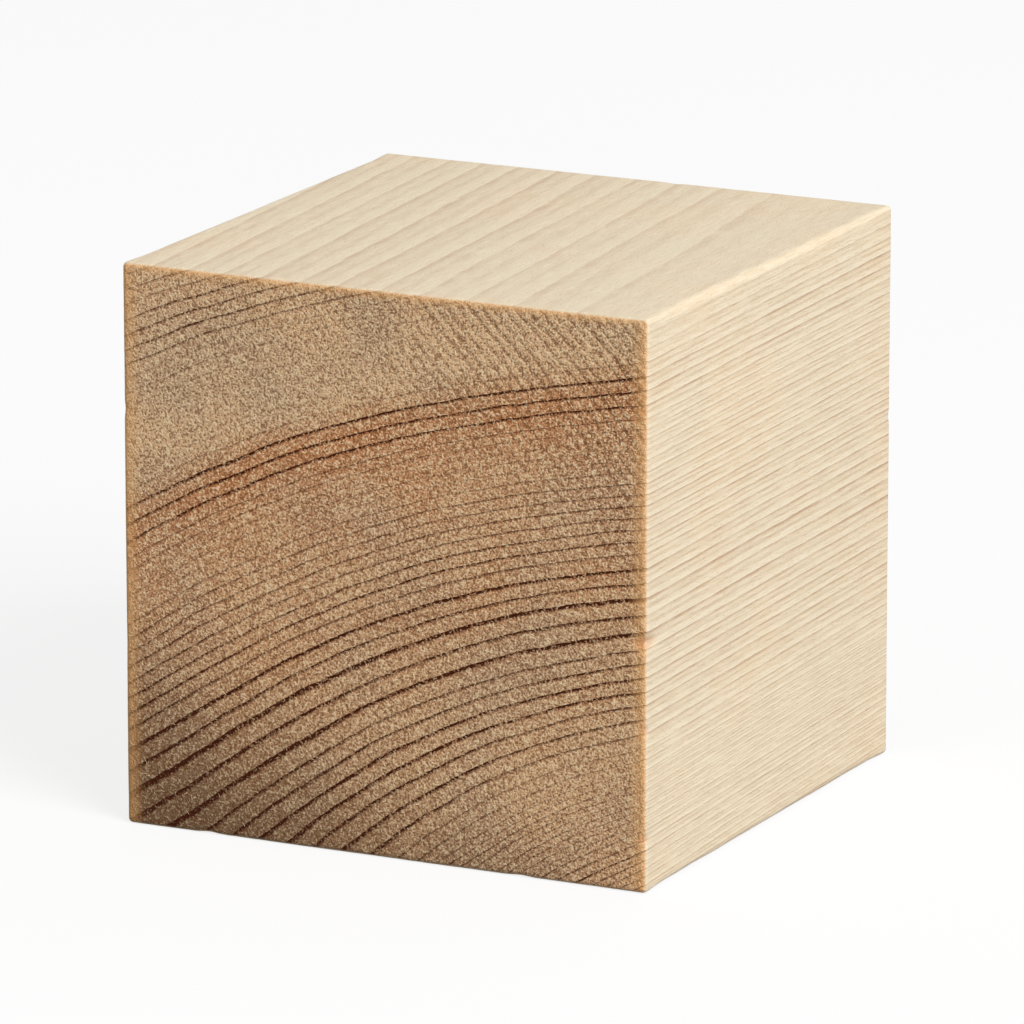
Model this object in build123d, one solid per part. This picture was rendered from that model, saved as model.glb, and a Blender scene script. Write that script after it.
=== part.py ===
from build123d import *
import os

# Softwood cube: one solid block, cut from a square planed stick and eased along every edge.
#
# The frame is +Z up with the origin at the centre of the face that the block rests on. The grain
# runs along Y, so the faces at -Y and +Y are the sawn ends that show the growth rings, and the
# faces at -X, +X, -Z and +Z are long grain. All sizes are in millimetres.

# The stick that the block is cut from, and the length that the saw leaves.
STICK_WIDTH = 50.0  # along X
STICK_HEIGHT = 50.0  # along Z
CUT_LENGTH = 50.0  # along Y, with the grain

# The four edges that run with the grain are rounded while the stick is planed. The eight edges
# around the two sawn ends are sanded afterwards, and stay crisper.
LONG_EDGE_RADIUS = 0.8
END_EDGE_RADIUS = 0.5


def planed_stick():
    """The stick, with its rounded long edges, as long as the block and centred on the origin along Y."""
    with BuildPart() as stick:
        with BuildSketch(Plane.XZ.offset(-CUT_LENGTH / 2)):
            with Locations((0, STICK_HEIGHT / 2)):
                RectangleRounded(STICK_WIDTH, STICK_HEIGHT, LONG_EDGE_RADIUS)
        extrude(amount=CUT_LENGTH)
    return stick.part


def wooden_cube():
    """The finished block: the stick with the arrises of its two sawn ends eased all the way round."""
    stick = planed_stick()
    sawn_ends = stick.faces().sort_by(Axis.Y)
    cube = fillet(sawn_ends[0].edges() + sawn_ends[-1].edges(), END_EDGE_RADIUS)
    cube.label = "wooden_cube"
    return cube


os.makedirs("parts", exist_ok=True)
export_step(wooden_cube(), "parts/wooden_cube.step")
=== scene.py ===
"""Sawn softwood cube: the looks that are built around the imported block.

The block is one piece of close-ringed softwood. Its grain runs along Y, so the growth rings show as
arcs on the two sawn ends and as fine lines along the four planed sides. One ring field drives both the
relief of the mesh and the colour of the wood, so a ring on a sawn end runs on down the side.
"""

import math
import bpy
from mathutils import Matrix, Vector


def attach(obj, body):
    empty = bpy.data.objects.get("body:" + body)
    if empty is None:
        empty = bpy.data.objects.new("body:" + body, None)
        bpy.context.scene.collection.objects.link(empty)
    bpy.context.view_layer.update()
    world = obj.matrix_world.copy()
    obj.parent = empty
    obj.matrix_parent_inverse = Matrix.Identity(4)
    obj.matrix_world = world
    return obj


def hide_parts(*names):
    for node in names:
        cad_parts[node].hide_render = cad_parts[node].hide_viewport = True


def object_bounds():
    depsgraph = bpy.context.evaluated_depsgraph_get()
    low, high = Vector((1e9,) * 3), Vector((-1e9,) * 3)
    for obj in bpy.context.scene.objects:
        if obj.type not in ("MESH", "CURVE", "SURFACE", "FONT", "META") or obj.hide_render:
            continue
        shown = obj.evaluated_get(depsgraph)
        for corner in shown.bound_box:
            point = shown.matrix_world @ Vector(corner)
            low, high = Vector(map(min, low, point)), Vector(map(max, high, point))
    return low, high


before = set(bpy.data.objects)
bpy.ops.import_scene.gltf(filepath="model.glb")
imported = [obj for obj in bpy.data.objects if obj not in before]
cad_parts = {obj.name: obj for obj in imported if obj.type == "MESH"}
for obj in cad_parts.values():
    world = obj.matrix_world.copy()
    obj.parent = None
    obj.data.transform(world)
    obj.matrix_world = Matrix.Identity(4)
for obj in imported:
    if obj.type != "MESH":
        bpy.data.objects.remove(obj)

from types import SimpleNamespace

import bpy
from bpy.props import FloatProperty, FloatVectorProperty, IntProperty, PointerProperty
from mathutils import Vector

bl_info = {
    "name": "Sawn softwood cube",
    "version": (1, 0, 0),
    "blender": (4, 5, 0),
    "location": "3D View > Sidebar > Softwood",
    "description": "Builds a softwood cube whose growth rings run through the whole block",
    "category": "Add Mesh",
}

CAD_LOW, CAD_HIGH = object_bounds()
BODY = "root"
NODE = "wooden_cube"

# Lengths inside the patterns and the relief are in millimetres.
MM = 0.001
PER_MM = 1000.0
WIDTH = (CAD_HIGH[0] - CAD_LOW[0]) * PER_MM  # along X
DEPTH = (CAD_HIGH[1] - CAD_LOW[1]) * PER_MM  # along Y, with the grain
HEIGHT = (CAD_HIGH[2] - CAD_LOW[2]) * PER_MM  # along Z

# The heart of the tree lies outside the block, below it and to its right. It drifts a little along
# the grain, and the rings round it are flattened and bow where the trunk was not quite round.
HEART_X = 59.0
HEART_Z = -22.0
HEART_DRIFT_X = -0.036
HEART_DRIFT_Z = 0.011
FLATNESS = 1.75
BOW = 0.09
BOW_FALL = -0.22
BOW_FADE = -0.98

# The spells of growth from the heart outwards: the radius in mm at which each one ends, how many
# rings it holds, how dark their late wood is, how red it is and how deep the tone of the whole spell is.
FIRST_RADIUS = 44.0
GROWTH = (
    (53.2, 8, 0.60, 0.30, 0.05),
    (57.5, 3, 0.75, 0.35, 0.05),
    (61.5, 4, 0.35, 0.30, 0.05),
    (66.4, 5, 0.45, 0.25, 0.10),
    (69.7, 2, 0.40, 0.20, 0.20),
    (76.2, 3, 0.70, 0.20, 0.40),
    (84.3, 4, 0.95, 0.15, 0.55),
    (91.9, 3, 1.00, 0.25, 0.60),
    (98.1, 3, 1.00, 0.45, 0.50),
    (104.8, 4, 0.72, 0.35, 0.25),
    (111.2, 4, 0.48, 0.50, 0.25),
    (116.8, 4, 0.18, 0.70, 0.25),
    (124.4, 4, 1.35, 1.00, 0.25),
    (126.3, 1, 0.10, 0.10, 0.00),
    (134.0, 4, 0.06, 0.05, 0.00),
    (147.6, 8, 0.62, 0.15, 0.05),
    (160.0, 7, 0.50, 0.20, 0.10),
)

# How the rings stray from their curve: the size in mm of each ripple, then how far it sways.
WANDER = ((7.0, 0.9), (1.6, 0.22), (0.32, 0.24))
WANDER_SQUEEZE = 0.07

# How far the strength of a ring line fades in and out along it, and from one ring to the next.
FADE_SIZE = 9.0
FADE_LEAST = 0.4
FADE_RANGE = 1.1
RING_LEAST = 0.6
RING_RANGE = 0.6
YEAR_OFFSET = 0.37  # keeps the number a ring is drawn by clear of whole numbers

# The saw's marks on an end: their pitch in mm, the pitch of the swell over them, and its share.
SAW_PITCH = 0.95
SWELL_PITCH = 3.9
SWELL_SHARE = 0.22
SAW_WAVER = 1.0
SAW_WAVER_SIZE = 6.0

# Sizes in mm of the patterns on a sawn end.
TOOTH_SIZE = 0.175
CLUMP_SIZE = 0.6
BREAK_SIZE = 0.24
PATCH_SIZE = 6.0
DRY_SIZE = 11.0
# The width of the painted glow of light along the left, top and right edges of an end.
EDGE_GLOW_WIDTH = 2.0

# Sizes in mm of the patterns on a planed side, each with how much it is drawn out along the grain.
STREAKS = (0.15, 0.05)
TICKS = (0.2, 0.3)
LINE_FADE = (1.1, 0.25)
WARM_SIZE = 13.0

# Bare wood is matt, and an end more so than a side.
SIDE_ROUGHNESS = 0.62
END_ROUGHNESS = 0.86
SHEEN_OF_BARE_WOOD = 0.15

# Mesh rows that share the rounding of one edge, and the gap round each face on the finish's map.
EDGE_ROWS = 5.0
MAP_MARGIN = 0.008

# The last few mm before an end, over which the planed rounding turns into the sanded one.
TURN_BEGINS = 4.0
TURN_ENDS = 0.6
WEAR_SIZE = 6.0

# Relief in mm: the ripple of a sawn end, and the steps and streaks of a planed side.
END_RIPPLE = 0.04
SIDE_STEP = 0.010
SIDE_STREAK = 0.02
HOLLOW_SIZE = 22.0

# Fibres: how much denser and longer they stand in a tuft, and how they lean in radians.
TUFT_DENSITY = 18.0
TUFT_LENGTH = 2.4
TUFT_REACH = 0.55
LEAN_LOW = (1.05, -0.3, 0.0)
LEAN_HIGH = (1.48, 0.3, math.tau)
SHORTEST = 0.5
LONGEST = 1.5
PER_SQUARE_METRE = 1.0e4  # square centimetres in one

# The stage, in metres and degrees. Angles are the azimuth from -Y towards +X, then the elevation.
FLOOR_REACH = 6.0
FLOOR_GLOW = 0.80
KEY_SIZE = 1.1
KEY_DISTANCE = 1.8
KEY_ANGLES = (62.0, 35.0)
VIEW_ANGLES = (26.3, 14.2)
VIEW_DISTANCE = 0.857

# Knocks in the arrises: the middle of each in mm, its reach along X, Y and Z, and its depth.
NICKS = (
    ((WIDTH / 2, -DEPTH / 2, 22.0), (1.0, 1.5, 0.45), 0.45),
    ((WIDTH / 2, -DEPTH / 2, 14.3), (0.5, 0.6, 0.35), 0.35),
    ((WIDTH / 2, -DEPTH / 2, 4.8), (0.6, 0.7, 0.30), 0.30),
    ((WIDTH / 2, DEPTH / 2, 31.0), (0.6, 0.7, 0.40), 0.10),
    ((-WIDTH / 2, -DEPTH / 2, 37.0), (0.5, 0.6, 0.50), 0.10),
    ((-9.0, -DEPTH / 2, HEIGHT), (0.7, 0.6, 0.50), 0.12),
    ((13.0, -DEPTH / 2, 0.0), (0.9, 0.6, 0.50), 0.14),
    ((-17.0, -DEPTH / 2, 0.0), (0.8, 0.7, 0.50), 0.14),
    ((-WIDTH / 2, DEPTH / 2, 12.0), (0.7, 0.9, 0.60), 0.35),
    ((4.0, DEPTH / 2, HEIGHT), (0.7, 0.6, 0.50), 0.10),
)

# Where the saw pulled up a few longer fibres on the front end: X and Z in mm.
TUFTS = ((15.4, 15.6), (-2.0, 15.4), (0.4, 32.0), (-17.0, 21.0), (8.5, 40.5))


def tint(red, green, blue):
    """A colour written as a screen shows it, 0 to 255, in the linear values that shaders take."""
    parts = [part / 255.0 for part in (red, green, blue)]
    return tuple(p / 12.92 if p <= 0.04045 else ((p + 0.055) / 1.055) ** 2.4 for p in parts)


def colour_property(name, description, shade):
    """A property for one colour of the finish."""
    return FloatVectorProperty(
        name=name, description=description, default=shade, subtype="COLOR", size=3, min=0.0, max=1.0
    )


def length_property(name, description, millimetres):
    """A property for one length, given in mm and kept in metres."""
    return FloatProperty(
        name=name, description=description, default=millimetres * MM, unit="LENGTH", min=0.0, precision=5
    )


class BlockSettings(bpy.types.PropertyGroup):
    """Sizes of the block's edges and surface."""

    long_radius: length_property("Planed edge", "Radius of the edges that run with the grain", 0.8)
    end_radius: length_property("Sanded edge", "Radius of the edges round the sawn ends", 0.5)
    unevenness: length_property("Unevenness", "How far the faces wander from flat", 0.06)
    groove: length_property("Ring groove", "How deep the late wood lies in a sawn end", 0.05)
    saw_marks: length_property("Saw marks", "How deep the saw scored the ends", 0.025)
    rows: IntProperty(name="Rows across", description="Mesh rows across the grain", default=169, min=40)
    slices: IntProperty(name="Slices along", description="Mesh rows along the grain", default=49, min=16)


class WoodSettings(bpy.types.PropertyGroup):
    """Colours of the wood, and of the painted shade and glow on its ends."""

    side_early: colour_property("Side early wood", "Spring growth on a planed side", tint(234, 218, 189))
    side_pale: colour_property("Side pale streaks", "Palest fibre on a planed side", tint(252, 240, 216))
    side_warm: colour_property("Side warm wood", "Warmer patches on a planed side", tint(240, 214, 180))
    side_late: colour_property("Side late wood", "Summer growth on a planed side", tint(180, 139, 106))
    end_early: colour_property("End early wood", "Spring growth on a sawn end", tint(236, 196, 152))
    end_late: colour_property("End late wood", "Summer growth on a sawn end", tint(112, 68, 36))
    end_ink: colour_property("End ring line", "The line that closes a ring on a sawn end", tint(70, 26, 3))
    deep_tone: colour_property("Deep tone", "Tone of the slow, dark spells", tint(156, 110, 76))
    red_tone: colour_property("Red tone", "Tone of the resinous spells", tint(206, 126, 70))
    # Partly stained wood and partly painted shade: the tone of the darker lower corner of an end.
    stain_and_shade_tone: colour_property("Damp tone", "Tone of the stained corner of an end", tint(106, 80, 58))
    grey_tone: colour_property("Grey tone", "Tone of the drier patches of an end", tint(196, 170, 140))
    # Painted light: the orange glow of light shining through the thin wood at the arrises of an end.
    edge_glow_tone: colour_property("Arris tone", "Tone of the sanded arrises", tint(236, 180, 118))
    # Also the colour of the painted glints on the fibre tips of a sawn end.
    fibre: colour_property("Loose fibre", "Fibres that the saw pulled up", tint(246, 220, 178))


class FibreSettings(bpy.types.PropertyGroup):
    """The fibres that stand on the sawn ends."""

    length: length_property("Length", "Length of a short fibre", 0.42)
    thickness: length_property("Thickness", "Thickness of a fibre at its root", 0.05)
    density: FloatProperty(name="Density", description="Fibres per square centimetre", default=32.0, min=0.0)
    seed: IntProperty(name="Seed", description="Changes where the fibres stand", default=7)


class StageSettings(bpy.types.PropertyGroup):
    """The floor, the light and the camera."""

    floor: colour_property("Floor", "Colour of the floor as the camera sees it", (1.0, 1.0, 1.0))
    bounce: colour_property("Bounce", "Colour that the floor throws back", (0.34, 0.33, 0.32))
    sky: FloatProperty(name="Sky", description="Strength of the light from all round", default=0.42, min=0.0)
    key: FloatProperty(name="Key", description="Power of the soft key light in watts", default=30.0, min=0.0)
    lens: FloatProperty(name="Lens", description="Focal length in mm", default=345.0, unit="CAMERA", min=1.0)


class Signal:
    """A socket that a formula can use: arithmetic on it adds Math nodes to its tree."""

    def __init__(self, wires, socket):
        self.wires = wires
        self.socket = socket

    def output(self, name):
        """Another output of the node that this signal comes from."""
        return Signal(self.wires, self.socket.node.outputs[name])

    def __add__(self, other):
        return self.wires.maths("ADD", self, other)

    def __radd__(self, other):
        return self.wires.maths("ADD", other, self)

    def __sub__(self, other):
        return self.wires.maths("SUBTRACT", self, other)

    def __rsub__(self, other):
        return self.wires.maths("SUBTRACT", other, self)

    def __mul__(self, other):
        return self.wires.maths("MULTIPLY", self, other)

    def __rmul__(self, other):
        return self.wires.maths("MULTIPLY", other, self)

    def __truediv__(self, other):
        return self.wires.maths("DIVIDE", self, other)

    def __rtruediv__(self, other):
        return self.wires.maths("DIVIDE", other, self)

    def __neg__(self):
        return self.wires.maths("MULTIPLY", self, -1.0)

    def __abs__(self):
        return self.wires.maths("ABSOLUTE", self)


class Wires:
    """Adds nodes to one tree, of a material or of Geometry Nodes, and wires them together."""

    def __init__(self, tree):
        self.tree = tree

    def node(self, kind, settings=None, sockets=None, stops=(), output=0):
        """Adds a node: its settings first, then its ramp's stops, then its sockets' values or links."""
        made = self.tree.nodes.new(kind)
        for name, value in (settings or {}).items():
            setattr(made, name, value)
        if stops:
            elements = made.color_ramp.elements
            while len(elements) < len(stops):
                elements.new(0.5)
            for element, (place, shade) in zip(elements, stops):
                element.position = place
                element.color = (*shade, 1.0)
        for key, value in (sockets or {}).items():
            self.plug(value, made.inputs[key])
        return None if output is None else Signal(self, made.outputs[output])

    def plug(self, value, socket):
        """Links a signal to a socket, or sets the socket to a plain value."""
        if isinstance(value, Signal):
            self.tree.links.new(value.socket, socket)
        elif socket.type == "RGBA":
            socket.default_value = (*value[:3], 1.0)
        else:
            socket.default_value = value

    def maths(self, operation, *values):
        """One Math node."""
        return self.node("ShaderNodeMath", {"operation": operation}, dict(enumerate(values)))

    def vector(self, operation, *values, scale=None, output=0):
        """One Vector Math node."""
        sockets = dict(enumerate(values))
        if scale is not None:
            sockets["Scale"] = scale
        return self.node("ShaderNodeVectorMath", {"operation": operation}, sockets, output=output)

    def parts(self, vector):
        """The X, Y and Z of a vector."""
        x = self.node("ShaderNodeSeparateXYZ", sockets={0: vector}, output="X")
        return x, x.output("Y"), x.output("Z")

    def joined(self, x, y, z):
        """The vector of an X, a Y and a Z."""
        return self.node("ShaderNodeCombineXYZ", sockets={"X": x, "Y": y, "Z": z})

    def span(self, value, low, high, to_low=0.0, to_high=1.0, smooth=False):
        """Maps low..high to to_low..to_high, and holds the ends outside it."""
        kind = "SMOOTHSTEP" if smooth else "LINEAR"
        settings = {"interpolation_type": kind, "clamp": True}
        sockets = dict(enumerate((value, low, high, to_low, to_high)))
        return self.node("ShaderNodeMapRange", settings, sockets)

    def step(self, value, low, high):
        """A smooth step from 0 at low to 1 at high. With high under low it falls instead."""
        if high < low:
            return self.span(value, high, low, 1.0, 0.0, smooth=True)
        return self.span(value, low, high, smooth=True)

    def noise(self, point, size, detail=2.0, roughness=0.5, shift=None):
        """Soft noise around 0.5 with features of about that size. A shift takes it from elsewhere."""
        if shift is not None:
            point = self.vector("ADD", point, shift)
        sockets = {"Vector": point, "Scale": 1.0 / size, "Detail": detail, "Roughness": roughness}
        return self.node("ShaderNodeTexNoise", sockets=sockets)

    def mix(self, factor, first, second):
        """Blends two colours. The node's sockets 6 and 7 and its output 2 are the ones for colours."""
        settings = {"data_type": "RGBA", "clamp_factor": True}
        return self.node("ShaderNodeMix", settings, {0: factor, 6: first, 7: second}, output=2)

    def between(self, factor, first, second):
        """Blends two numbers."""
        return first + (second - first) * factor

    def drawn_out(self, point, squeeze):
        """The point with its Y squeezed, so that a noise on it is drawn out along the grain."""
        return self.vector("MULTIPLY", point, (1.0, squeeze, 1.0))


def ring_field(wires, point):
    """The growth of the tree at a point in mm, as the late wood there and the marks of its spell."""
    x, y, z = wires.parts(point)
    run = y + DEPTH / 2
    across = x - run * HEART_DRIFT_X
    up = z - run * HEART_DRIFT_Z
    side = across / WIDTH
    drop = 0.5 - up / HEIGHT
    bow = side * side * (BOW + drop * (BOW_FALL + drop * BOW_FADE)) * WIDTH
    east = across - HEART_X
    north = (up - HEART_Z) * FLATNESS
    with_grain = wires.drawn_out(point, WANDER_SQUEEZE)
    wander = 0.0
    for size, sway in WANDER:
        wander = (wires.noise(with_grain, size) - 0.5) * sway + wander
    strength = wires.noise(with_grain, FADE_SIZE) * FADE_RANGE + FADE_LEAST
    radius = wires.maths("SQRT", east * east + north * north) + bow + wander

    # Each spell adds its rings as the radius passes through it, and gives the ramp one stop.
    rings = 0.0
    began = FIRST_RADIUS
    stops = []
    last = GROWTH[-1][0]
    for ended, count, dark, red, deep in GROWTH:
        rings = wires.span(radius, began, ended, 0.0, float(count)) + rings
        middle = (began + ended) / 2
        stops.append(((middle - FIRST_RADIUS) / (last - FIRST_RADIUS), (dark, red, deep)))
        began = ended
    outwardness = wires.span(radius, FIRST_RADIUS, last)
    spell = wires.node("ShaderNodeValToRGB", sockets={"Fac": outwardness}, stops=stops)
    dark, red, deep = wires.parts(spell)
    year = wires.maths("FLOOR", rings) + YEAR_OFFSET
    chance = wires.node(
        "ShaderNodeTexWhiteNoise", {"noise_dimensions": "1D"}, {"W": year}, output="Value"
    )
    return SimpleNamespace(
        age=wires.maths("FRACT", rings),
        dark=dark * (RING_LEAST + RING_RANGE * chance) * strength,
        red=red,
        deep=deep,
        outwards=wires.vector("NORMALIZE", wires.joined(east, 0.0, north * FLATNESS)),
    )


def late_line(wires, growth, share):
    """The dark line that closes each ring: it builds up over that share of it and ends sharply."""
    built_up = wires.span(growth.age, 1.0 - share, 0.95, smooth=True)
    return built_up * wires.step(growth.age, 1.0, 0.965)


def saw_score(wires, point):
    """The saw's slanting marks on an end, from -1 to 1."""
    x, _, z = wires.parts(point)
    slant = x * 0.80 + z * 0.56 + z * z * 0.002
    waver = (wires.noise(point, SAW_WAVER_SIZE) - 0.5) * SAW_WAVER
    fine = wires.maths("SINE", (slant + waver) * (math.tau / SAW_PITCH))
    swell = wires.maths("SINE", (slant + waver) * (math.tau / SWELL_PITCH))
    return fine * (1.0 - SWELL_SHARE) + swell * SWELL_SHARE


def knocks(wires, point):
    """How deep the nicks in the arrises go at a point, in mm."""
    depth = 0.0
    for centre, reach, deep in NICKS:
        offset = wires.vector("DIVIDE", wires.vector("SUBTRACT", point, centre), reach)
        near = wires.vector("DOT_PRODUCT", offset, offset, output="Value")
        depth = wires.maths("EXPONENT", -near) * deep + depth
    return depth


def new_tree(name, values, takes_mesh=False):
    """A Geometry Nodes tree with one named input for each value, its wires and its input node."""
    tree = bpy.data.node_groups.new(name, "GeometryNodeTree")
    if takes_mesh:
        tree.interface.new_socket("Geometry", in_out="INPUT", socket_type="NodeSocketGeometry")
    for label, value in values.items():
        kind = "NodeSocketInt" if isinstance(value, int) else "NodeSocketFloat"
        tree.interface.new_socket(label, in_out="INPUT", socket_type=kind)
    tree.interface.new_socket("Geometry", in_out="OUTPUT", socket_type="NodeSocketGeometry")
    wires = Wires(tree)
    return wires, wires.node("NodeGroupInput")


def close_tree(wires, geometry, material):
    """Ends a tree: its instances are made real and everything gets the material."""
    real = wires.node("GeometryNodeRealizeInstances", sockets={"Geometry": geometry})
    finished = wires.node("GeometryNodeSetMaterial", sockets={"Geometry": real, "Material": material})
    wires.node("NodeGroupOutput", sockets={"Geometry": finished}, output=None)


def grown(name, mesh, tree, values):
    """The plain mesh object that a tree grows from a mesh with these values."""
    source = bpy.data.objects.new(name + "_source", mesh)
    bpy.context.scene.collection.objects.link(source)
    modifier = source.modifiers.new("Growth", "NODES")
    modifier.node_group = tree
    for item in tree.interface.items_tree:
        if item.in_out == "INPUT" and item.name in values:
            modifier[item.identifier] = values[item.name]
    evaluated = source.evaluated_get(bpy.context.evaluated_depsgraph_get())
    made = bpy.data.meshes.new_from_object(evaluated)
    source.modifiers.remove(modifier)
    bpy.data.objects.remove(source)
    made.name = name
    piece = bpy.data.objects.new(name, made)
    bpy.context.scene.collection.objects.link(piece)
    return piece


def stored(wires, geometry, name, value, kind="FLOAT", domain="POINT"):
    """The geometry with one more named attribute."""
    return wires.node(
        "GeometryNodeStoreNamedAttribute",
        {"data_type": kind, "domain": domain},
        {"Geometry": geometry, "Name": name, "Value": value},
    )


def recalled(wires, name, kind="FLOAT"):
    """An attribute that was stored on the geometry, wherever the mesh has moved since."""
    return wires.node("GeometryNodeInputNamedAttribute", {"data_type": kind}, {"Name": name})


def on_edge(wires, place, half, edge, crowd):
    """Moves a grid row from -1..1 to its place in mm: the rows past crowd share the edge's width."""
    away = abs(place)
    flat = wires.span(away, 0.0, crowd) * (half - edge)
    turned = wires.span(away, crowd, 1.0) * edge
    return (flat + turned) * wires.maths("SIGN", place)


def spread_grid(wires, grid, inputs, long_radius, end_radius):
    """The grid's points spread over the flat-sided box, in mm from its middle."""
    grid_x, grid_y, grid_z = wires.parts(grid)
    crowd_across = 1.0 - 2.0 * EDGE_ROWS / (inputs.output("Rows across") - 1.0)
    crowd_along = 1.0 - 2.0 * EDGE_ROWS / (inputs.output("Slices along") - 1.0)

    # Along the grain the rows crowd towards the ends, where the rings and the saw marks are.
    turn = wires.span(abs(grid_y), 0.0, crowd_along) * (math.pi / 2)
    past = wires.span(abs(grid_y), crowd_along, 1.0) * (1.0 - crowd_along)
    graded = wires.maths("SINE", turn) * crowd_along + past
    graded = graded * wires.maths("SIGN", grid_y)
    return wires.joined(
        on_edge(wires, grid_x, WIDTH / 2, long_radius, crowd_across),
        on_edge(wires, graded, DEPTH / 2, end_radius, crowd_along),
        on_edge(wires, grid_z, HEIGHT / 2, long_radius, crowd_across),
    )


def eased(wires, box, long_radius, end_radius):
    """The box rounded by a ball that rolls inside it, and the way out of it at each point.

    The ball is as large as the planed edges along the block and shrinks to the sanded ones at its ends.
    """
    _, y, _ = wires.parts(box)
    near_end = wires.step(abs(y), DEPTH / 2 - TURN_BEGINS, DEPTH / 2 - TURN_ENDS)
    wear = 0.8 + wires.noise(box, WEAR_SIZE) * 0.4
    cross = wires.between(near_end, long_radius, end_radius) * wear
    ball = wires.joined(cross, end_radius * wear, cross)
    limit = wires.vector("SUBTRACT", (WIDTH / 2, DEPTH / 2, HEIGHT / 2), ball)
    opposite = wires.vector("SCALE", limit, scale=-1.0)
    inner = wires.vector("MINIMUM", wires.vector("MAXIMUM", box, opposite), limit)
    reach = wires.vector("DIVIDE", wires.vector("SUBTRACT", box, inner), ball)
    outward = wires.vector("NORMALIZE", reach)
    return wires.vector("ADD", inner, wires.vector("MULTIPLY", outward, ball)), outward


def bake_map(wires, box, facing):
    """Where each face corner lies on the finish's map: two square ends above four half-wide sides."""
    x, y, z = wires.parts(wires.vector("DIVIDE", box, (WIDTH, DEPTH, HEIGHT)))
    side_x, side_y, side_z = wires.parts(facing)
    inset = 1.0 - 2.0 * MAP_MARGIN
    cell = abs(side_z) * 2.0 + (side_x + side_z + 1.0) * 0.5
    along = (cell + 0.5 + y * inset) / 4.0
    across = wires.between(abs(side_z), z, x) * inset * 0.5 + 0.25
    end_u = (side_y * 0.5 + 1.0 + x * inset) / 2.0
    end_v = 0.75 + z * inset * 0.5
    on_end = abs(side_y)
    return wires.joined(wires.between(on_end, along, end_u), wires.between(on_end, across, end_v), 0.0)


def block_tree(values, material):
    """Geometry Nodes for the block: a fine grid, rounded and worn, with a map for its finish."""
    wires, inputs = new_tree("softwood_block", values)
    long_radius = inputs.output("Planed edge") * PER_MM
    end_radius = inputs.output("Sanded edge") * PER_MM
    rows = inputs.output("Rows across")
    cube = wires.node(
        "GeometryNodeMeshCube",
        sockets={
            "Size": (2.0, 2.0, 2.0),
            "Vertices X": rows,
            "Vertices Y": inputs.output("Slices along"),
            "Vertices Z": rows,
        },
    )
    facing = wires.node("GeometryNodeInputNormal")
    place = wires.node("GeometryNodeInputPosition")
    cube = stored(wires, cube, "grid_place", place, "FLOAT_VECTOR")
    cube = stored(wires, cube, "grid_side", facing, "FLOAT_VECTOR", "FACE")
    grid = recalled(wires, "grid_place", "FLOAT_VECTOR")
    box = spread_grid(wires, grid, inputs, long_radius, end_radius)
    flat_map = bake_map(wires, box, recalled(wires, "grid_side", "FLOAT_VECTOR"))
    cube = stored(wires, cube, "OFBake", flat_map, "FLOAT2", "CORNER")
    rounded, outward = eased(wires, box, long_radius, end_radius)
    point = wires.vector("ADD", rounded, (0.0, 0.0, HEIGHT / 2))

    # The relief goes inwards, in mm: rings and saw marks on the ends, rings and streaks on the sides.
    _, end_facing, _ = wires.parts(outward)
    end = wires.step(abs(end_facing), 0.45, 0.9)
    growth = ring_field(wires, point)
    groove = late_line(wires, growth, 0.30) * growth.dark * inputs.output("Ring groove")
    score = (saw_score(wires, point) * 0.5 + 0.5) * inputs.output("Saw marks")
    end_relief = (groove + score) * PER_MM + wires.noise(point, 0.55, detail=1.0) * END_RIPPLE
    streak = wires.noise(wires.drawn_out(point, 0.12), 0.9, detail=1.0)
    side_relief = growth.age * SIDE_STEP + streak * SIDE_STREAK
    hollow = wires.noise(point, HOLLOW_SIZE, detail=1.0) * inputs.output("Unevenness") * PER_MM
    knock = knocks(wires, point)
    relief = wires.between(end, side_relief, end_relief) + hollow + knock
    worn = wires.vector("SUBTRACT", point, wires.vector("SCALE", outward, scale=relief))
    cube = stored(wires, cube, "end_grain", end)
    lying = abs(wires.vector("DOT_PRODUCT", growth.outwards, outward, output="Value"))
    cube = stored(wires, cube, "flat_sawn", lying)
    cube = stored(wires, cube, "knocked", wires.step(knock, 0.03, 0.2))
    cube = stored(wires, cube, "worn_place", wires.vector("SCALE", worn, scale=MM), "FLOAT_VECTOR")
    cube = wires.node(
        "GeometryNodeSetPosition",
        sockets={"Geometry": cube, "Position": recalled(wires, "worn_place", "FLOAT_VECTOR")},
    )
    for name in ("grid_place", "grid_side", "worn_place"):
        cube = wires.node("GeometryNodeRemoveAttribute", sockets={"Geometry": cube, "Name": name})
    smooth = wires.node("GeometryNodeSetShadeSmooth", sockets={"Geometry": cube})
    close_tree(wires, smooth, material)
    return wires.tree


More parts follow.
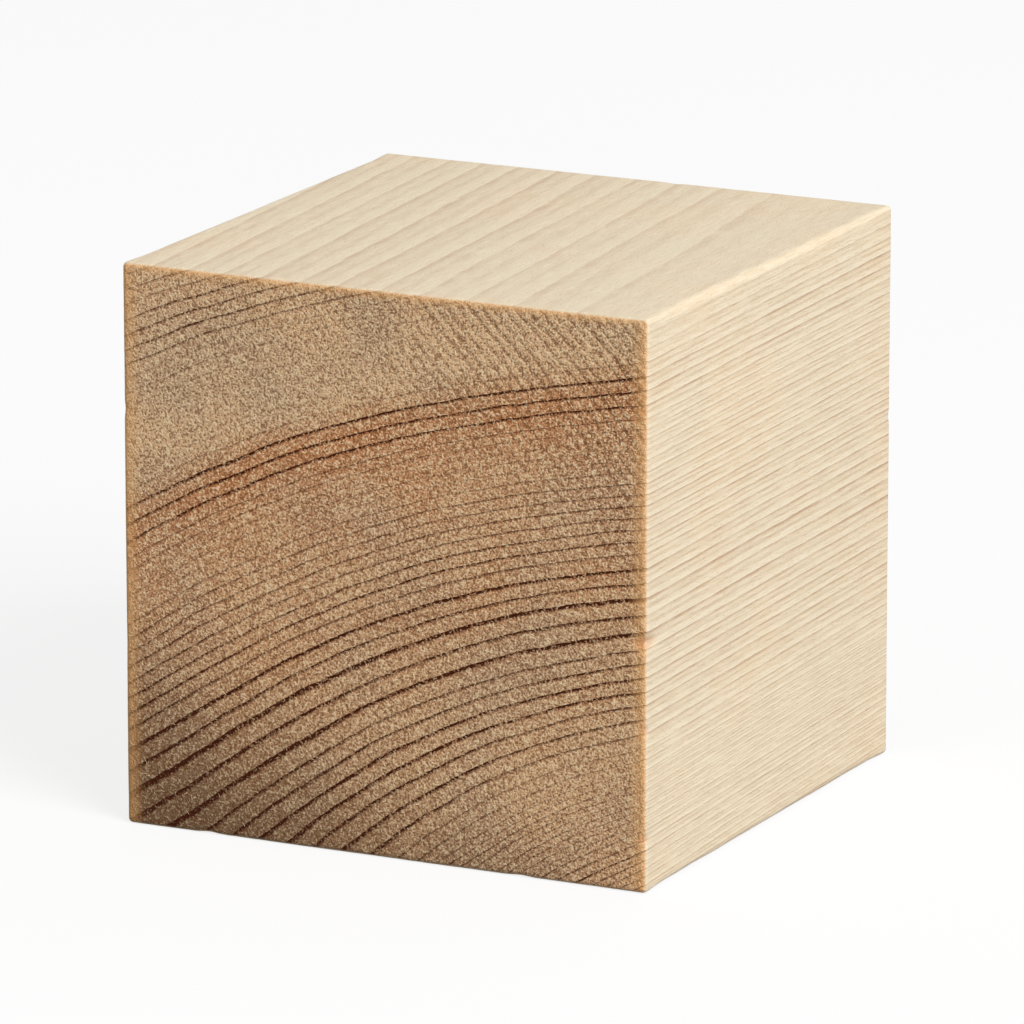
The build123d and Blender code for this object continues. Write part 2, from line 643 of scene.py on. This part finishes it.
def fibre_tree(values, material):
    """Geometry Nodes for the fibres: curled slivers, scattered over the two sawn ends."""
    wires, inputs = new_tree("sawn_fibres", values, takes_mesh=True)
    length = inputs.output("Length")
    sliver = wires.node(
        "GeometryNodeMeshCone",
        sockets={
            "Vertices": 4,
            "Side Segments": 3,
            "Radius Top": inputs.output("Thickness") * 0.12,
            "Radius Bottom": inputs.output("Thickness") * 0.5,
            "Depth": length,
        },
    )
    _, _, height = wires.parts(wires.node("GeometryNodeInputPosition"))
    curl = height * height / length * 0.5
    sunk = wires.joined(curl, 0.0, inputs.output("Thickness") * -0.8)
    sliver = wires.node("GeometryNodeSetPosition", sockets={"Geometry": sliver, "Offset": sunk})

    place = wires.vector("SCALE", wires.node("GeometryNodeInputPosition"), scale=PER_MM)
    x, y, z = wires.parts(place)
    tuft = 0.0
    for tuft_x, tuft_z in TUFTS:
        centre = (tuft_x, 0.0, tuft_z)
        offset = wires.vector("DISTANCE", wires.joined(x, 0.0, z), centre, output="Value")
        tuft = wires.step(offset, TUFT_REACH, 0.1) + tuft
    tuft = tuft * wires.step(y, 0.0, -1.0)
    inside = wires.step(abs(x), WIDTH / 2 - 0.5, WIDTH / 2 - 1.0) * wires.step(z, 0.9, 1.4)
    inside = inside * wires.step(z, HEIGHT - 0.5, HEIGHT - 1.0)
    ends = wires.step(recalled(wires, "end_grain"), 0.9, 0.98) * inside
    crowded = inputs.output("Density") * PER_SQUARE_METRE * ends * (1.0 + tuft * TUFT_DENSITY)
    roots = wires.node(
        "GeometryNodeDistributePointsOnFaces",
        sockets={"Mesh": inputs, "Density": crowded, "Seed": inputs.output("Seed")},
    )
    long_here = 1.0 + tuft * TUFT_LENGTH
    fibres = wires.node(
        "GeometryNodeInstanceOnPoints",
        sockets={
            "Points": roots,
            "Instance": sliver,
            "Rotation": roots.output("Rotation"),
        },
    )
    lean = wires.node(
        "FunctionNodeRandomValue",
        {"data_type": "FLOAT_VECTOR"},
        {0: LEAN_LOW, 1: LEAN_HIGH, "Seed": inputs.output("Seed")},
    )
    fibres = wires.node(
        "GeometryNodeRotateInstances", sockets={"Instances": fibres, "Rotation": lean}
    )
    sizes = wires.node(
        "FunctionNodeRandomValue",
        {"data_type": "FLOAT"},
        {2: SHORTEST, 3: LONGEST, "Seed": inputs.output("Seed") + 1.0},
        output=1,
    )
    fibres = wires.node(
        "GeometryNodeScaleInstances",
        sockets={"Instances": fibres, "Scale": wires.joined(1.0, 1.0, sizes * long_here)},
    )
    close_tree(wires, fibres, material)
    return wires.tree


def attribute(wires, name):
    """What the block's geometry says at a spot under that name."""
    return wires.node("ShaderNodeAttribute", {"attribute_name": name}, output="Fac")


def sawn_end(wires, wood, point, growth):
    """Colour and height in mm of a sawn end: grooved rings in a tooth of cut fibre ends, with painted
    glints, glow and shade.
    """
    x, _, z = wires.parts(point)
    grit = wires.noise(point, TOOTH_SIZE, detail=1.0, roughness=0.6)
    clump = wires.noise(point, CLUMP_SIZE, detail=1.0, shift=(31.0, 7.0, 13.0))
    tooth = grit * 0.84 + clump * 0.16
    patch = wires.noise(point, PATCH_SIZE, detail=1.0, shift=(5.0, 90.0, 40.0))
    dry = wires.noise(point, DRY_SIZE, detail=1.0, shift=(60.0, 3.0, 17.0))
    broken = wires.step(wires.noise(point, BREAK_SIZE, detail=1.0), 0.38, 0.56) * 0.75 + 0.30
    # Darker towards the lower corner at -X: partly stained wood, partly painted shade.
    stain_and_shade = wires.step(z + x * 0.4, 15.0, -9.0)

    # The ring lines are broken up by the fibres, and show darkest in the lower corner, which is stained and
    # painted in shade.
    ink = late_line(wires, growth, growth.dark * 0.14 + 0.20) * growth.dark * broken
    ink = wires.maths("MINIMUM", ink * (1.35 + stain_and_shade), 1.0)
    skirt = wires.step(growth.age, 0.35, 1.0) * wires.maths("MINIMUM", growth.dark, 1.0)

    # The tone of the wood: its spell, then dry and resinous patches, then the stained lower corner with its
    # painted shade.
    colour = wires.mix(growth.deep * 0.5, wood.end_early, wood.deep_tone)
    colour = wires.mix(wires.step(dry, 0.42, 0.66) * 0.55, colour, wood.grey_tone)
    colour = wires.mix(growth.red * (0.30 + patch * 0.7), colour, wood.red_tone)
    colour = wires.mix(skirt * patch * 0.70, colour, wood.red_tone)
    colour = wires.mix(stain_and_shade * 0.9, colour, wood.stain_and_shade_tone)

    # What the saw left: its marks, strongest in the upper right, then the tooth with painted glints on its
    # fibre tips, then the lines, and last a painted glow of light along the edges.
    marks = wires.step(x * 0.6 + z, 34.0, 62.0) * 0.8 + 0.2
    score = saw_score(wires, point)
    colour = wires.mix(wires.step(score, 0.0, 0.8) * marks * 0.56, colour, wood.end_late)
    colour = wires.mix(wires.step(tooth, 0.50, 0.35) * 0.70, colour, wood.end_late)
    # Painted highlights: the high points of the tooth are lit pale, as fibre tips catching the light, and
    # fade in the shaded lower corner.
    colour = wires.mix(wires.step(tooth, 0.52, 0.65) * (0.94 - stain_and_shade * 0.65), colour, wood.fibre)
    colour = wires.mix(ink, colour, wood.end_ink)
    # Painted light: a lighter, orange glow along the left, top and right edges of an end, where light shines
    # through the thin wood. The bottom edge has none.
    edge_glow = wires.maths("MINIMUM", WIDTH / 2 - abs(x), (HEIGHT - z) * 1.8)
    colour = wires.mix(wires.step(edge_glow, EDGE_GLOW_WIDTH, 0.1) * 0.6, colour, wood.edge_glow_tone)
    height = tooth * 0.16 - ink * 0.10 - score * marks * 0.02
    return colour, height


def planed_side(wires, wood, point, growth, flat_sawn):
    """Colour and height in mm of a planed side: fine lines that run with the grain, faint streaks.

    Where the rings lie flat to the face, the lines are softer and wider.
    """
    streak_size, streak_squeeze = STREAKS
    streak = wires.noise(wires.drawn_out(point, streak_squeeze), streak_size, roughness=0.6)
    tick_size, tick_squeeze = TICKS
    ticks = wires.noise(wires.drawn_out(point, tick_squeeze), tick_size, detail=1.0)
    ticks = wires.step(ticks, 0.56, 0.7)
    fade_size, fade_squeeze = LINE_FADE
    fade = wires.noise(wires.drawn_out(point, fade_squeeze), fade_size)
    fade = wires.step(fade, 0.34, 0.62) * 0.6 + 0.45
    patch = wires.noise(point, WARM_SIZE, shift=(50.0, 3.0, 8.0))
    between_years = wires.step(abs(growth.age - 0.48), 0.14, 0.04)
    line = late_line(wires, growth, 0.27) * (0.50 + growth.dark * 0.34)
    line = line + between_years * (0.26 + growth.dark * 0.1)
    present = wires.step(growth.dark, 0.02, 0.14) * 0.85 + 0.15
    line = line * present * fade * (1.0 - flat_sawn * 0.50)
    line = wires.maths("MINIMUM", line, 1.0)
    skirt = wires.step(growth.age, 0.1, 1.0) * growth.dark
    fresh = wires.step(growth.age, 0.42, 0.06) * present * (1.0 - flat_sawn * 0.7)
    colour = wires.mix(wires.step(patch, 0.42, 0.66) * 0.35, wood.side_early, wood.side_warm)
    colour = wires.mix(skirt * (0.06 + flat_sawn * 0.17), colour, wood.side_late)
    colour = wires.mix(fresh * 0.40, colour, wood.side_pale)
    colour = wires.mix(wires.step(streak, 0.48, 0.66) * 0.35, colour, wood.side_pale)
    colour = wires.mix(line * 0.85, colour, wood.side_late)
    colour = wires.mix(wires.step(streak, 0.52, 0.3) * 0.12, colour, wood.side_late)
    colour = wires.mix(ticks * 0.10, colour, wood.side_late)
    height = streak * 0.03 - line * 0.02 - ticks * 0.015
    return colour, height


def new_material(name):
    """An empty material, and the wires of its tree."""
    material = bpy.data.materials.new(name)
    material.use_nodes = True
    material.node_tree.nodes.clear()
    return material, Wires(material.node_tree)


def softwood_material(wood):
    """The finish of the block: one ring field, cut across at the ends and along at the sides."""
    material, wires = new_material("softwood")
    point = wires.vector("SCALE", wires.node("ShaderNodeTexCoord", output="Object"), scale=PER_MM)
    end = attribute(wires, "end_grain")
    knocked = attribute(wires, "knocked")
    growth = ring_field(wires, point)
    end_colour, end_height = sawn_end(wires, wood, point, growth)
    flat_sawn = attribute(wires, "flat_sawn")
    side_colour, side_height = planed_side(wires, wood, point, growth, flat_sawn)
    colour = wires.mix(end, side_colour, end_colour)
    colour = wires.mix(knocked * 0.40, colour, wood.red_tone)
    grit = wires.noise(point, 0.4)
    rough = wires.between(end, SIDE_ROUGHNESS, END_ROUGHNESS) + (grit - 0.5) * 0.16
    height = wires.between(end, side_height, end_height)
    bump = wires.node("ShaderNodeBump", sockets={"Strength": 1.0, "Distance": MM, "Height": height})
    shader = wires.node(
        "ShaderNodeBsdfPrincipled",
        sockets={
            "Base Color": colour,
            "Roughness": rough,
            "Normal": bump,
            "Specular IOR Level": SHEEN_OF_BARE_WOOD,
        },
    )
    wires.node("ShaderNodeOutputMaterial", sockets={"Surface": shader}, output=None)
    return material


def fibre_material(wood):
    """The finish of the loose fibres: pale, with a darker sliver here and there."""
    material, wires = new_material("loose_fibre")
    point = wires.vector("SCALE", wires.node("ShaderNodeTexCoord", output="Object"), scale=PER_MM)
    cloud = wires.noise(point, 1.1, detail=1.0)
    colour = wires.mix(wires.step(cloud, 0.45, 0.7) * 0.7, wood.fibre, wood.end_early)
    fuzz = wires.noise(point, 0.1) * 0.02
    bump = wires.node("ShaderNodeBump", sockets={"Distance": MM, "Height": fuzz})
    shader = wires.node(
        "ShaderNodeBsdfPrincipled",
        sockets={"Base Color": colour, "Roughness": 0.6 + cloud * 0.3, "Normal": bump},
    )
    wires.node("ShaderNodeOutputMaterial", sockets={"Surface": shader}, output=None)
    return material


def floor_material(stage):
    """A pale floor: the camera and reflections see it white, and it lights the block more softly."""
    material, wires = new_material("studio_floor")
    seen = seen_rays(wires)
    paint = wires.mix(seen, stage.bounce, stage.floor)
    matt = wires.node("ShaderNodeBsdfDiffuse", sockets={"Color": paint})
    glow = wires.node("ShaderNodeEmission", sockets={"Color": (1.0, 1.0, 1.0), "Strength": 1.0})
    both = wires.node("ShaderNodeMixShader", sockets={0: seen * FLOOR_GLOW, 1: matt, 2: glow})
    wires.node("ShaderNodeOutputMaterial", sockets={"Surface": both}, output=None)
    return material


def seen_rays(wires):
    """1 for the rays that show a thing to the camera, straight or in a reflection, 0 for the rest."""
    path = wires.node("ShaderNodeLightPath", output="Is Camera Ray")
    mirrored = wires.maths("MAXIMUM", path.output("Is Glossy Ray"), path.output("Is Transmission Ray"))
    return wires.maths("MAXIMUM", path, mirrored)


def lit_world(stage):
    """A white surround that shows as white and lights the block softly."""
    world = bpy.data.worlds.new("studio")
    bpy.context.scene.world = world
    world.use_nodes = True
    world.node_tree.nodes.clear()
    wires = Wires(world.node_tree)
    strength = wires.between(seen_rays(wires), stage.sky, 1.0)
    sockets = {"Color": (1.0, 1.0, 1.0), "Strength": strength}
    light = wires.node("ShaderNodeBackground", sockets=sockets)
    wires.node("ShaderNodeOutputWorld", sockets={"Surface": light}, output=None)


def aimed(name, data, place, target):
    """A lamp or a camera at a place, looking at a target."""
    made = bpy.data.objects.new(name, data)
    bpy.context.scene.collection.objects.link(made)
    made.location = place
    made.rotation_euler = (Vector(target) - Vector(place)).to_track_quat("-Z", "Y").to_euler()
    return made


def from_angles(azimuth, elevation, distance, target):
    """The place at a distance from a target, with azimuth from -Y towards +X, both in degrees."""
    turn = math.radians(azimuth)
    rise = math.radians(elevation)
    level = math.cos(rise)
    away = Vector((math.sin(turn) * level, -math.cos(turn) * level, math.sin(rise)))
    return Vector(target) + away * distance


class SOFTWOOD_OT_block(bpy.types.Operator):
    """Build the block itself, with its eased edges, rings and sawn ends"""

    bl_idname = "softwood.block"
    bl_label = "Block"

    def execute(self, context):
        block = context.scene.softwood_block
        values = {
            "Planed edge": block.long_radius,
            "Sanded edge": block.end_radius,
            "Unevenness": block.unevenness,
            "Ring groove": block.groove,
            "Saw marks": block.saw_marks,
            "Rows across": block.rows,
            "Slices along": block.slices,
        }
        tree = block_tree(values, softwood_material(context.scene.softwood_wood))
        piece = grown("softwood_block", bpy.data.meshes.new("blank"), tree, values)
        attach(piece, BODY)
        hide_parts(NODE)
        return {"FINISHED"}


class SOFTWOOD_OT_fibres(bpy.types.Operator):
    """Scatter the fibres that the saw pulled up on the two ends"""

    bl_idname = "softwood.fibres"
    bl_label = "Loose fibres"

    def execute(self, context):
        fibres = context.scene.softwood_fibres
        values = {
            "Length": fibres.length,
            "Thickness": fibres.thickness,
            "Density": fibres.density,
            "Seed": fibres.seed,
        }
        tree = fibre_tree(values, fibre_material(context.scene.softwood_wood))
        block = bpy.data.objects["softwood_block"]
        piece = grown("sawn_fibres", block.data.copy(), tree, values)
        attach(piece, BODY)
        return {"FINISHED"}


class SOFTWOOD_OT_stage(bpy.types.Operator):
    """Set up the floor, the soft light and the camera"""

    bl_idname = "softwood.stage"
    bl_label = "Stage"

    def execute(self, context):
        stage = context.scene.softwood_stage
        low = Vector(CAD_LOW)
        high = Vector(CAD_HIGH)
        middle = (low + high) / 2
        signs = ((-1, -1), (1, -1), (1, 1), (-1, 1))
        corners = [(x * FLOOR_REACH, y * FLOOR_REACH, low.z) for x, y in signs]
        mesh = bpy.data.meshes.new("floor")
        mesh.from_pydata(corners, [], [(0, 1, 2, 3)])
        mesh.materials.append(floor_material(stage))
        floor = bpy.data.objects.new("floor", mesh)
        context.scene.collection.objects.link(floor)
        lit_world(stage)
        lamp = bpy.data.lights.new("key", "AREA")
        lamp.shape = "DISK"
        lamp.size = KEY_SIZE
        lamp.energy = stage.key
        aimed("key", lamp, from_angles(*KEY_ANGLES, KEY_DISTANCE, middle), middle)
        lens = bpy.data.cameras.new("camera")
        lens.lens = stage.lens
        lens.clip_start = 0.01
        place = from_angles(*VIEW_ANGLES, VIEW_DISTANCE, middle)
        context.scene.camera = aimed("camera", lens, place, middle)
        context.scene.view_settings.view_transform = "Standard"
        return {"FINISHED"}


class SOFTWOOD_PT_panel(bpy.types.Panel):
    """Lists the steps that build the cube, with their settings"""

    bl_idname = "SOFTWOOD_PT_panel"
    bl_label = "Softwood cube"
    bl_space_type = "VIEW_3D"
    bl_region_type = "UI"
    bl_category = "Softwood"

    def draw(self, context):
        scene = context.scene
        for operator, groups in STEPS:
            box = self.layout.box()
            box.operator(operator.bl_idname)
            for group in groups:
                settings = getattr(scene, group)
                for name in settings.bl_rna.properties.keys():
                    if name not in ("rna_type", "name"):
                        box.prop(settings, name)


STEPS = (
    (SOFTWOOD_OT_block, ("softwood_block", "softwood_wood")),
    (SOFTWOOD_OT_fibres, ("softwood_fibres",)),
    (SOFTWOOD_OT_stage, ("softwood_stage",)),
)
GROUPS = {
    "softwood_block": BlockSettings,
    "softwood_wood": WoodSettings,
    "softwood_fibres": FibreSettings,
    "softwood_stage": StageSettings,
}
CLASSES = (*GROUPS.values(), *(operator for operator, _ in STEPS), SOFTWOOD_PT_panel)


def register():
    """Registers the classes and hangs each group of settings on the scene."""
    for made in CLASSES:
        bpy.utils.register_class(made)
    for name, group in GROUPS.items():
        setattr(bpy.types.Scene, name, PointerProperty(type=group))


def unregister():
    """Takes the settings and the classes away again."""
    for name in GROUPS:
        delattr(bpy.types.Scene, name)
    for made in reversed(CLASSES):
        bpy.utils.unregister_class(made)


def main():
    register()
    bpy.ops.softwood.block()
    bpy.ops.softwood.fibres()
    bpy.ops.softwood.stage()


if __name__ == "__main__":
    main()
